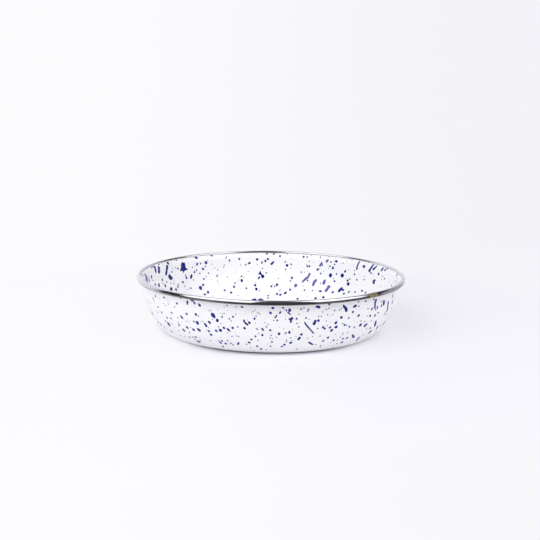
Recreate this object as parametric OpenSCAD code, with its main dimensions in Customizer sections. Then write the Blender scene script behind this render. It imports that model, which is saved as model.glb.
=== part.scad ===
// Shallow round enamelled steel bowl with a steel band around its lip.
// The bowl stands on the ground plane at z = 0 and turns about the z axis.
// The section is drawn once as the line in the middle of the sheet. Every coat
// lies between two lines at a set distance from it, so the coats share their faces.

/* [Overall] */
// Diameter over the steel band
band_diameter = 216; // [200:1:230]
// Height from the table to the top of the band
bowl_height = 44; // [42:0.5:50]

/* [Section] */
// Share of the bowl's radius over the band that the flat foot reaches out to
foot_share = 0.772; // [0.74:0.002:0.79]
// Radius of the corner between the foot and the wall, outside
corner_radius = 9; // [7:0.5:11]
// Share of the bowl's height over which the upper wall runs straight
upper_wall_share = 0.2; // [0.15:0.01:0.25]
// Lean of the upper wall from the vertical
wall_lean = 7; // [5:0.5:9]
// Radius of the lip where it flares outwards
lip_radius = 4.6; // [4:0.1:5.4]
// Lean of the lip from the vertical where it enters the band
lip_lean = 60; // [55:1:65]
// Straight length of the lip inside the band
lip_end = 1.6; // [1.4:0.05:1.8]

/* [Underside] */
// Height of the recessed panel inside the foot
recess_height = 0.9; // [0.5:0.1:1.2]
// Width of the flat ring that the bowl stands on
foot_width = 12.4; // [8:0.2:20]
// Radius of the two soft bends at the edge of the panel
recess_bend = 6; // [4:0.5:8]

/* [Sheet and coats] */
// Thickness of the pressed steel
steel_thickness = 0.6; // [0.5:0.05:0.8]
// Thickness of the ground coat on each side
ground_thickness = 0.1; // [0.08:0.01:0.12]
// Thickness of the white cover coat on each side
cover_thickness = 0.2; // [0.15:0.01:0.25]

/* [Spatter] */
// Height of the fused blue drops above the cover coat
drop_height = 0.08; // [0.06:0.01:0.12]
// Radius of the smallest drop
drop_small = 1; // [0.8:0.1:1.4]
// Radius of the largest drop
drop_large = 2.4; // [1.8:0.1:2.8]
// Number of drops round the wall, on each side
wall_drop_count = 40; // [20:1:50]
// Number of drops on the floor inside
floor_drop_count = 18; // [8:1:30]

/* [Band] */
// Radius of the strip's tight bend below the outer face
band_foot_bend = 0.6; // [0.5:0.05:0.7]
// Height of the outer face between its bends
band_face = 0.9; // [0.7:0.05:1.1]
// Lean of the outer face from the vertical
face_lean = 5; // [2:0.5:8]
// Radius of the shoulder above the outer face
band_shoulder = 2.1; // [1.9:0.05:2.3]
// Radius of the bend over the top
band_top_bend = 1.3; // [1.2:0.05:1.4]
// Radius of the bend below the inner face
band_inner_bend = 1; // [0.8:0.05:1.1]
// Thickness of the strip
strip_thickness = 0.4; // [0.3:0.05:0.45]
// Clearance between the strip's edges and the coats
band_clearance = 0.03; // [0.02:0.01:0.06]
// Length of the gap between the strip's two ends
joint_length = 9; // [4:0.5:10]
// Direction of the joint about the z axis
joint_direction = -45; // [-60:1:-30]

/* [Hidden] */

// Most that an arc turns between two of its points
corner_step = 6;
wall_step = 3.5;
bend_step = 5;
lip_step = 9;
tip_step = 30;
round_sides = 180;
quarter_turn = 90;
two = 2;
half_share = 0.5;

half_steel = steel_thickness * half_share;
ground_depth = half_steel + ground_thickness;
cover_depth = ground_depth + cover_thickness;

// Points along an arc of the middle line, each with the sheet's outward direction.
// The direction that the line runs in turns from one angle to another.
function arc_count(from, to, step) = max(two, ceil(abs(to - from) / step));
function arc_points(start, radius, from, to, step) =
    let (count = arc_count(from, to, step), side = sign(to - from))
    [for (i = [1 : count])
        let (a = from + (to - from) * i / count)
        [start[0] + side * radius * (sin(a) - sin(from)),
         start[1] - side * radius * (cos(a) - cos(from)), a]];
function last(list) = list[len(list) - 1];
function line_end(start, length, a) =
    [start[0] + length * cos(a), start[1] + length * sin(a), a];

// Outline of the band's section, in the order in which it turns: the bend below the
// outer face, the face, the shoulder, the bend over the top, the inner face, the bend
// below it, and the flat underside. A depth inwards gives the inside of the strip.
// The inner face and the underside have the lengths that close the outline.
face_turn = quarter_turn + face_lean;
shoulder_turn = 150;
inner_turn = 270;
full_turn = 360;
band_step = 12;
inner_face = band_foot_bend * (1 - cos(face_turn)) + band_face * sin(face_turn)
    - band_shoulder * (cos(shoulder_turn) - cos(face_turn)) + band_top_bend * cos(shoulder_turn)
    - band_inner_bend;
function band_outline(depth) =
    let (bend = arc_points([0, depth], band_foot_bend - depth, 0, face_turn, band_step),
         face = line_end(last(bend), band_face, face_turn),
         shoulder = arc_points(face, band_shoulder - depth, face_turn, shoulder_turn, band_step),
         top = arc_points(last(shoulder), band_top_bend - depth, shoulder_turn, inner_turn, band_step),
         inner = line_end(last(top), inner_face, inner_turn),
         low = arc_points(inner, band_inner_bend - depth, inner_turn, full_turn, band_step))
    concat([[0, depth, 0]], bend, [face], shoulder, top, [inner], low);
band_shape = band_outline(0);
band_corner = [band_diameter * half_share - max([for (p = band_shape) p[0]]),
               bowl_height - max([for (p = band_shape) p[1]])];
band_width = max([for (p = band_shape) p[0]]) - min([for (p = band_shape) p[0]]);
band_depth = max([for (p = band_shape) p[1]]) - min([for (p = band_shape) p[1]]);

// The lip ends in the middle of the band
band_middle = [(band_diameter - band_width) * half_share, bowl_height - band_depth * half_share];

// The lip is laid back from the middle of the band, then the straight upper wall
lip_turn = quarter_turn - lip_lean;
wall_turn = quarter_turn - wall_lean;
lip_rise = lip_radius * (cos(lip_turn) - cos(wall_turn)) + lip_end * sin(lip_turn);
lip_reach = lip_radius * (sin(wall_turn) - sin(lip_turn)) + lip_end * cos(lip_turn);
wall_top = [band_middle[0] - lip_reach, band_middle[1] - lip_rise, wall_turn];
wall_end = line_end(wall_top, -upper_wall_share * bowl_height, wall_turn);

// One curved wall joins the corner to the upper wall and is tangent to both.
// Its radius follows from the two circles touching inside one another.
foot_radius = foot_share * band_diameter * half_share;
foot_edge = [foot_radius, cover_depth, 0];
corner_middle = corner_radius - cover_depth;
wall_across = wall_end[0] - foot_edge[0];
wall_above = wall_end[1] - foot_edge[1] - corner_middle;
wall_middle = (pow(wall_across, two) + pow(wall_above, two) - pow(corner_middle, two))
    / (two * (wall_across * sin(wall_turn) - wall_above * cos(wall_turn) - corner_middle));
corner_turn = atan2(wall_middle * sin(wall_turn) - wall_across,
                    wall_above + wall_middle * cos(wall_turn));

// The middle line from the axis to the tip of the lip. The third value of each
// point is the direction of the line, counted from level towards upright.
recess_turn = acos(1 - recess_height / (two * recess_bend));
recess_radius = foot_radius - foot_width;
panel_radius = recess_radius - two * recess_bend * sin(recess_turn);
panel_height = cover_depth + recess_height;
axis_point = [0, panel_height, 0];
panel_edge = [panel_radius, panel_height, 0];
panel_fall = arc_points(panel_edge, recess_bend, 0, -recess_turn, bend_step);
panel_foot = arc_points(last(panel_fall), recess_bend, -recess_turn, 0, bend_step);
corner = arc_points(foot_edge, corner_middle, 0, corner_turn, corner_step);
wall = arc_points(last(corner), wall_middle, corner_turn, wall_turn, wall_step);
flare = arc_points(wall_top, lip_radius, wall_turn, lip_turn, lip_step);
tip = line_end(last(flare), lip_end, lip_turn);
middle_line = concat([axis_point, panel_edge], panel_fall, panel_foot, [foot_edge],
                     corner, wall, [wall_top], flare, [tip]);

// A line at a distance from the middle line, outwards for side 1, inwards for side -1.
// At the lip it goes round the tip to the point furthest out.
function shifted(line, distance, side) =
    [for (p = line) [p[0] + side * distance * sin(p[2]), p[1] - side * distance * cos(p[2])]];
function beside(distance, side) =
    concat(shifted(middle_line, distance, side),
           [for (i = [1 : quarter_turn / tip_step])
               let (a = i * tip_step)
               [tip[0] + distance * (side * cos(a) * sin(tip[2]) + sin(a) * cos(tip[2])),
                tip[1] + distance * (sin(a) * sin(tip[2]) - side * cos(a) * cos(tip[2]))]]);
function backwards(list) = [for (i = [len(list) - 1 : -1 : 0]) list[i]];
function without_first(list) = [for (i = [1 : len(list) - 1]) list[i]];

module coat(inner_depth, outer_depth, side) {
    rotate_extrude($fn = round_sides)
        polygon(concat(beside(outer_depth, side), backwards(beside(inner_depth, side))));
}

module steel_core() {
    color([0.45, 0.46, 0.48])
        rotate_extrude($fn = round_sides)
            polygon(concat(beside(half_steel, 1), without_first(backwards(beside(half_steel, -1)))));
}

module ground_coat_inside() {
    color([0.10, 0.12, 0.22])
        coat(half_steel, ground_depth, -1);
}

module ground_coat_outside() {
    color([0.10, 0.12, 0.22])
        coat(half_steel, ground_depth, 1);
}

module cover_coat_inside() {
    color([0.94, 0.95, 0.97])
        coat(ground_depth, cover_depth, -1);
}

module cover_coat_outside() {
    color([0.94, 0.95, 0.97])
        coat(ground_depth, cover_depth, 1);
}

// Where the drops lie: round the wall in steps of the golden angle, each at a share
// of the way from the corner up to the flare, with its size from a share of its own
golden_turn = 137.508;
level_share = 0.6190;
size_share = 0.3247;
floor_turn = 61;
drop_reach = 1;
inside_shift = 70;
drop_sides = 24;
drop_start_share = 0.12;
drop_span_share = 0.8;
floor_inner_share = 0.1;
function share_of(value) = value - floor(value);
function drop_radius(i) =
    drop_small + (drop_large - drop_small) * pow(share_of(i * size_share), two);
drop_line = concat([foot_edge], corner, wall, [wall_top]);
function drop_place(i) =
    (drop_start_share + drop_span_share * share_of(i * level_share)) * (len(drop_line) - 1);
function along(list, place) =
    let (i = floor(place), share = place - i)
    list[i] * (1 - share) + list[i + 1] * share;

// The drops on a wall are cut from one thin skin on its coat, each by a short round
// cutter that points straight out of the wall. The skin starts and ends in the widest
// gap between the drops, where the next drop of the same rule would lie.
module wall_drops(side, shift) {
    intersection() {
        rotate([0, 0, (wall_drop_count + 1) * golden_turn + shift])
            rotate_extrude($fn = round_sides)
                polygon(concat(shifted(drop_line, cover_depth + drop_height, side),
                               backwards(shifted(drop_line, cover_depth, side))));
        for (i = [1 : wall_drop_count]) {
            p = along(drop_line, drop_place(i));
            rotate([0, 0, i * golden_turn + shift])
                translate([p[0] + side * cover_depth * sin(p[2]), 0,
                           p[1] - side * cover_depth * cos(p[2])])
                    rotate([0, two * quarter_turn - p[2], 0])
                        cylinder(h = two * drop_reach, r = drop_radius(i), center = true,
                                 $fn = drop_sides);
        }
    }
}

module floor_drops() {
    for (i = [1 : floor_drop_count])
        rotate([0, 0, i * golden_turn + floor_turn])
            translate([panel_radius * sqrt(floor_inner_share + drop_span_share * i / floor_drop_count), 0,
                       panel_height + cover_depth])
                cylinder(h = drop_height, r = drop_radius(i), $fn = drop_sides);
}

module spatter_inside() {
    color([0.12, 0.11, 0.42]) {
        wall_drops(-1, inside_shift);
        floor_drops();
    }
}

module spatter_outside() {
    color([0.12, 0.11, 0.42])
        wall_drops(1, 0);
}

// Section of the rolled strip, with a slot where the lip enters
slot_width = two * (cover_depth + band_clearance);

module strip_section() {
    difference() {
        translate(band_corner)
            difference() {
                polygon([for (p = band_shape) [p[0], p[1]]]);
                polygon([for (p = band_outline(strip_thickness)) [p[0], p[1]]]);
            }
        translate(band_middle)
            rotate([0, 0, lip_turn + two * quarter_turn])
                translate([0, -slot_width * half_share])
                    square([band_width + band_depth, slot_width]);
    }
}

joint_turn = joint_length / band_middle[0] * full_turn / (two * PI);

module strip_part(from, turn) {
    rotate([0, 0, from])
        rotate_extrude(angle = turn, $fn = round_sides)
            strip_section();
}

module rim_band() {
    color([0.72, 0.73, 0.75])
        strip_part(joint_direction + joint_turn * half_share, full_turn - joint_turn);
}

module rim_band_joint() {
    color([0.70, 0.58, 0.30])
        strip_part(joint_direction - joint_turn * half_share, joint_turn);
}

steel_core();
ground_coat_inside();
ground_coat_outside();
cover_coat_inside();
cover_coat_outside();
spatter_inside();
spatter_outside();
rim_band();
rim_band_joint();
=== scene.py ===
"""Looks for the shallow enamelled bowl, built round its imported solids.

Lengths in the shape tables are millimetres and become metres in the meshes. The bowl stands on z = 0,
turns about the z axis, and -Y points to the viewer of the photograph.
"""

import math
import random
from bisect import bisect_right

import bpy
from mathutils import Matrix, Vector
from mathutils.bvhtree import BVHTree


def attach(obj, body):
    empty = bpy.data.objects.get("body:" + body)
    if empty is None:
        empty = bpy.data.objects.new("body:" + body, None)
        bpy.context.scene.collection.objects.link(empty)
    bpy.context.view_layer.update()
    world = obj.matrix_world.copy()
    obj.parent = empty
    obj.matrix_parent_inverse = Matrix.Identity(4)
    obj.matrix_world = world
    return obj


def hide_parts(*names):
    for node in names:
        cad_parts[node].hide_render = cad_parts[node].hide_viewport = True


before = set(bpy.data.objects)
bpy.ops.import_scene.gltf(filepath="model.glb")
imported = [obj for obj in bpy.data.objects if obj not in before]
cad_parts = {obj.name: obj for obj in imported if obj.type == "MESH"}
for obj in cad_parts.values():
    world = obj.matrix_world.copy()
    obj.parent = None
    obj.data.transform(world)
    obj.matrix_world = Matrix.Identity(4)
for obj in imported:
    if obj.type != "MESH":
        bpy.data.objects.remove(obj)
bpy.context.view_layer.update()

MM = 0.001
TAU = 2 * math.pi
TINY = 1e-6
INSIDE, OUTSIDE = -1, 1

# Shape of the section, as in the part's source
BAND_DIAMETER, BOWL_HEIGHT = 216.0, 44.0
FOOT_SHARE, CORNER_RADIUS, UPPER_WALL_SHARE = 0.772, 9.0, 0.2
WALL_TURN = math.radians(83)
LIP_RADIUS, LIP_TURN, LIP_END = 4.6, math.radians(30), 1.6
RECESS_HEIGHT, FOOT_WIDTH, RECESS_BEND = 0.9, 12.4, 6.0
GROUND_DEPTH, COVER_DEPTH = 0.4, 0.6
STRIP, BAND_CLEARANCE = 0.4, 0.03
FOOT_BEND, FACE, FACE_TURN = 0.6, 0.9, math.radians(95)
SHOULDER, SHOULDER_TURN, TOP_BEND = 2.1, math.radians(150), 1.3
INNER_TURN, INNER_BEND = math.radians(270), 1.0
JOINT_LENGTH, JOINT_DIRECTION = 9.0, math.radians(-45)

# How finely the curves are cut, and from which angle an edge stays sharp
FINE, SHARP = math.radians(1.5), math.radians(35)
COAT_SIDES, BAND_SIDES, JOINT_SIDES, TIP_STEPS, HALVINGS = 240, 300, 24, 6, 30


# Section
def arc(start, radius, turn_from, turn_to, step=FINE):
    """Points along an arc, each with the direction of travel, without the start."""
    count = max(2, math.ceil(abs(turn_to - turn_from) / step))
    side = 1 if turn_to > turn_from else -1
    out = []
    for i in range(1, count + 1):
        a = turn_from + (turn_to - turn_from) * i / count
        out.append((start[0] + side * radius * (math.sin(a) - math.sin(turn_from)),
                    start[1] - side * radius * (math.cos(a) - math.cos(turn_from)), a))
    return out


def straight(start, length, a, count=1):
    return [(start[0] + length * i / count * math.cos(a),
             start[1] + length * i / count * math.sin(a), a) for i in range(1, count + 1)]


def band_outline(depth):
    """Closed outline of the band's section at a depth inside its outer face."""
    bend = arc((0, depth), FOOT_BEND - depth, 0, FACE_TURN, 4 * FINE)
    face = straight(bend[-1], FACE, FACE_TURN)
    shoulder = arc(face[-1], SHOULDER - depth, FACE_TURN, SHOULDER_TURN, 2 * FINE)
    top = arc(shoulder[-1], TOP_BEND - depth, SHOULDER_TURN, INNER_TURN, 4 * FINE)
    rise = (FOOT_BEND * (1 - math.cos(FACE_TURN)) + FACE * math.sin(FACE_TURN)
            - SHOULDER * (math.cos(SHOULDER_TURN) - math.cos(FACE_TURN))
            + TOP_BEND * math.cos(SHOULDER_TURN) - INNER_BEND)
    inner = straight(top[-1], rise, INNER_TURN)
    low = arc(inner[-1], INNER_BEND - depth, INNER_TURN, TAU, 4 * FINE)
    return [(0, depth, 0)] + bend + face + shoulder + top + inner + low


reaches, heights, _ = zip(*band_outline(0))
BAND_X, BAND_Z = BAND_DIAMETER / 2 - max(reaches), BOWL_HEIGHT - max(heights)
BAND_WIDTH, BAND_TALL = max(reaches) - min(reaches), max(heights) - min(heights)
BAND_MIDDLE = ((BAND_DIAMETER - BAND_WIDTH) / 2, BOWL_HEIGHT - BAND_TALL / 2)


def middle_line():
    """The line in the middle of the sheet from the axis to the tip of the lip."""
    rise = LIP_RADIUS * (math.cos(LIP_TURN) - math.cos(WALL_TURN)) + LIP_END * math.sin(LIP_TURN)
    reach = LIP_RADIUS * (math.sin(WALL_TURN) - math.sin(LIP_TURN)) + LIP_END * math.cos(LIP_TURN)
    wall_top = (BAND_MIDDLE[0] - reach, BAND_MIDDLE[1] - rise)
    wall_end = straight(wall_top, -UPPER_WALL_SHARE * BOWL_HEIGHT, WALL_TURN)[0]
    foot = FOOT_SHARE * BAND_DIAMETER / 2
    corner = CORNER_RADIUS - COVER_DEPTH
    across, above = wall_end[0] - foot, wall_end[1] - COVER_DEPTH - corner
    wall = (across ** 2 + above ** 2 - corner ** 2) / (
        2 * (across * math.sin(WALL_TURN) - above * math.cos(WALL_TURN) - corner))
    turn = math.atan2(wall * math.sin(WALL_TURN) - across, above + wall * math.cos(WALL_TURN))
    recess = math.acos(1 - RECESS_HEIGHT / (2 * RECESS_BEND))
    panel = foot - FOOT_WIDTH - 2 * RECESS_BEND * math.sin(recess)
    line = [(0.0, COVER_DEPTH + RECESS_HEIGHT, 0.0)]
    line += straight(line[0], panel, 0, count=12)
    line += arc(line[-1], RECESS_BEND, 0, -recess, 2 * FINE)
    line += arc(line[-1], RECESS_BEND, -recess, 0, 2 * FINE)
    line += straight(line[-1], FOOT_WIDTH, 0, count=3)
    line += arc(line[-1], corner, 0, turn, 2 * FINE)
    line += arc(line[-1], wall, turn, WALL_TURN)
    line += straight(line[-1], UPPER_WALL_SHARE * BOWL_HEIGHT, WALL_TURN, count=4)
    line += arc(line[-1], LIP_RADIUS, WALL_TURN, LIP_TURN, 3 * FINE)
    line += straight(line[-1], LIP_END, LIP_TURN, count=2)
    return line


MIDDLE = middle_line()


def shifted(distance, side):
    """The middle line moved to a side."""
    return [(x + side * distance * math.sin(a), z - side * distance * math.cos(a)) for x, z, a in MIDDLE]


def beside(distance, side):
    """The middle line moved to a side, then round the tip of the lip to its furthest point."""
    x, z, a = MIDDLE[-1]
    tip = []
    for i in range(1, TIP_STEPS + 1):
        t = i * math.pi / (2 * TIP_STEPS)
        tip.append((x + distance * (side * math.cos(t) * math.sin(a) + math.sin(t) * math.cos(a)),
                    z + distance * (math.sin(t) * math.sin(a) - side * math.cos(t) * math.cos(a))))
    return shifted(distance, side) + tip


# Meshes
def new_object(name, verts, faces):
    mesh = bpy.data.meshes.new(name)
    mesh.from_pydata([tuple(c * MM for c in v) for v in verts], [], faces)
    mesh.validate()
    mesh.polygons.foreach_set("use_smooth", [True] * len(mesh.polygons))
    ob = bpy.data.objects.new(name, mesh)
    bpy.context.scene.collection.objects.link(ob)
    return ob


def lathe(name, loop, sides, turn_from=0.0, turn=TAU):
    """A closed loop of (r, z) swept about the z axis, with its ends closed when the turn is open."""
    full = turn >= TAU - TINY
    rings = sides if full else sides + 1
    verts, index = [], []
    for j in range(rings):
        a = turn_from + turn * j / sides
        row = []
        for k, (r, z) in enumerate(loop):
            if r < TINY and j:
                # a point on the axis is there once
                row.append(index[0][k])
                continue
            verts.append((r * math.cos(a), r * math.sin(a), z))
            row.append(len(verts) - 1)
        index.append(row)
    faces = []
    for j in range(sides):
        a, b = index[j], index[(j + 1) % rings]
        for k in range(len(loop)):
            m = (k + 1) % len(loop)
            quad = [a[k], b[k], b[m], a[m]]
            face = [v for n, v in enumerate(quad) if v not in quad[:n]]
            if len(face) > 2:
                faces.append(face)
    if not full:
        faces += [index[0], index[-1][::-1]]
    ob = new_object(name, verts, faces)
    ob.data.set_sharp_from_angle(angle=SHARP)
    return ob


def cover_coat(name, side):
    """A white coat, from its own face down to the ground coat."""
    loop = beside(COVER_DEPTH, side) + beside(GROUND_DEPTH, side)[::-1]
    return lathe(name, loop if side == OUTSIDE else loop[::-1], COAT_SIDES)


def strip_loop():
    """Section of the strip: the outline cut open where the lip enters."""
    a = LIP_TURN + math.pi
    half = COVER_DEPTH + BAND_CLEARANCE

    def clear_of_slot(p):
        x, z = p[0] + BAND_X - BAND_MIDDLE[0], p[1] + BAND_Z - BAND_MIDDLE[1]
        return x * math.cos(a) + z * math.sin(a) < 0 or abs(-x * math.sin(a) + z * math.cos(a)) > half

    def crossing(p, q):
        low, high = 0.0, 1.0
        for _ in range(HALVINGS):
            m = (low + high) / 2
            c = (p[0] + (q[0] - p[0]) * m, p[1] + (q[1] - p[1]) * m)
            low, high = (m, high) if clear_of_slot(c) == clear_of_slot(p) else (low, m)
        return c

    def opened(line):
        n = len(line)
        keep = [clear_of_slot(p) for p in line]
        start = next(i for i in range(n) if keep[i] and not keep[i - 1])
        out = [crossing(line[start], line[start - 1])]
        i = start
        while keep[i % n]:
            out.append(line[i % n][:2])
            i += 1
        return out + [crossing(line[(i - 1) % n], line[i % n])]

    return [(x + BAND_X, z + BAND_Z) for x, z in opened(band_outline(0)) + opened(band_outline(STRIP))[::-1]]


inside, outside = cover_coat("enamel_inside", INSIDE), cover_coat("enamel_outside", OUTSIDE)
joint_turn = JOINT_LENGTH / BAND_MIDDLE[0]
band = lathe("band", strip_loop(), BAND_SIDES, JOINT_DIRECTION + joint_turn / 2, TAU - joint_turn)
joint = lathe("band_joint", strip_loop(), JOINT_SIDES, JOINT_DIRECTION - joint_turn / 2, joint_turn)

# Camera
# Fitted to the rim and foot in the photograph: place in mm, turn about its own axis, focal length in pixels
CAMERA_PLACE = (0.0, -819.26, 200.0)
CAMERA_FORWARD = (-0.000844, 0.982824, -0.184541)
CAMERA_ROLL = math.radians(0.672)
FOCAL_PIXELS, FRAME_PIXELS, SENSOR = 1028.8, 540, 36.0

forward = Vector(CAMERA_FORWARD).normalized()
right = forward.cross(Vector((0, 0, 1))).normalized()
up = right.cross(forward)
cam_right = math.cos(CAMERA_ROLL) * right + math.sin(CAMERA_ROLL) * up
cam_up = math.cos(CAMERA_ROLL) * up - math.sin(CAMERA_ROLL) * right
eye = Vector(CAMERA_PLACE) * MM
camera_data = bpy.data.cameras.new("camera")
camera_data.sensor_width = SENSOR
camera_data.lens = FOCAL_PIXELS / FRAME_PIXELS * SENSOR
camera = bpy.data.objects.new("camera", camera_data)
camera.matrix_world = Matrix.Translation(eye) @ Matrix((cam_right, cam_up, -forward)).transposed().to_4x4()
bpy.context.scene.collection.objects.link(camera)
bpy.context.scene.camera = camera
bpy.context.scene.view_settings.view_transform = "Standard"


def sight(px, py):
    """Direction from the camera through a pixel of the photograph."""
    half = FRAME_PIXELS / 2
    return (forward * FOCAL_PIXELS + cam_right * (px - half) - cam_up * (py - half)).normalized()


# Places on the coats
def face_line(side):
    """A coat's face as rows of (length along it, r, z, outward r, outward z)."""
    points = shifted(COVER_DEPTH, side)
    rows, s = [], 0.0
    for before, (r, z), (_, _, a) in zip(points[:1] + points, points, MIDDLE):
        s += math.dist(before, (r, z))
        rows.append((s, r, z, side * math.sin(a), -side * math.cos(a)))
    return rows


FACES = {side: face_line(side) for side in (INSIDE, OUTSIDE)}
SIGHT_LIFT = 0.3        # height above the coat from which the camera is looked for, mm
SCALE_STEP = 0.5        # length over which the photograph's scale is measured, mm


def on_face(side, s):
    """(r, z, outward r, outward z) at a length along a coat's face."""
    line = FACES[side]
    s = min(max(s, 0.0), line[-1][0])
    k = min(bisect_right(line, s, key=lambda row: row[0]), len(line) - 1)
    low, high = line[k - 1], line[k]
    t = (s - low[0]) / (high[0] - low[0])
    r, z, nr, nz = (a * (1 - t) + b * t for a, b in zip(low[1:], high[1:]))
    size = math.hypot(nr, nz)
    return r, z, nr / size, nz / size


def place(side, s, angle, lift=0.0):
    """Point at a length along a coat's face and an angle about the axis, lifted off it, in mm."""
    r, z, nr, nz = on_face(side, s)
    r, z = r + nr * lift, z + nz * lift
    return r * math.cos(angle), r * math.sin(angle), z


def nearest_length(side, r, z):
    """(distance, length along the face) of the place on a coat's face that is nearest to (r, z)."""
    best = (math.inf, 0.0)
    line = FACES[side]
    for (s0, r0, z0, _, _), (s1, r1, z1, _, _) in zip(line, line[1:]):
        dr, dz = r1 - r0, z1 - z0
        t = ((r - r0) * dr + (z - z0) * dz) / (dr * dr + dz * dz)
        t = min(max(t, 0.0), 1.0)
        best = min(best, (math.hypot(r - r0 - t * dr, z - z0 - t * dz), s0 + t * (s1 - s0)))
    return best


def tree_of(ob):
    faces = [tuple(p.vertices) for p in ob.data.polygons]
    return BVHTree.FromPolygons([v.co for v in ob.data.vertices], faces)


trees = [(ob, tree_of(ob)) for ob in (inside, outside, band)]


def first_hit(origin, direction):
    """(distance, object, point) of what a ray meets first, or None."""
    hits = []
    for ob, tree in trees:
        point, _, _, distance = tree.ray_cast(origin, direction)
        if point is not None:
            hits.append((distance, ob, point))
    return min(hits, key=lambda h: h[0]) if hits else None


def pixel_on_bowl(px, py):
    """(side, length along the face, angle) of what a pixel shows, or None off the enamel."""
    hit = first_hit(eye, sight(px, py))
    if hit is None or hit[1] == band:
        return None
    point = hit[2] / MM
    r = math.hypot(point.x, point.y)
    side = min((INSIDE, OUTSIDE), key=lambda k: nearest_length(k, r, point.z)[0])
    return side, nearest_length(side, r, point.z)[1], math.atan2(point.y, point.x)


def seen(side, s, angle):
    """True where the camera sees this place on the enamel."""
    point = Vector(place(side, s, angle, SIGHT_LIFT)) * MM
    return first_hit(point, (eye - point).normalized()) is None


def pixels_per_mm(side, s, angle):
    """Scale of the photograph at a place, along the circle and along the section."""
    def project(point):
        v = Vector(point) * MM - eye
        return Vector((v.dot(cam_right), v.dot(cam_up))) * FOCAL_PIXELS / v.dot(forward)

    here = project(place(side, s, angle))
    around = (project(place(side, s, angle + SCALE_STEP / on_face(side, s)[0])) - here) / SCALE_STEP
    along = (project(place(side, s + SCALE_STEP, angle)) - here) / SCALE_STEP
    return around, along


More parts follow.
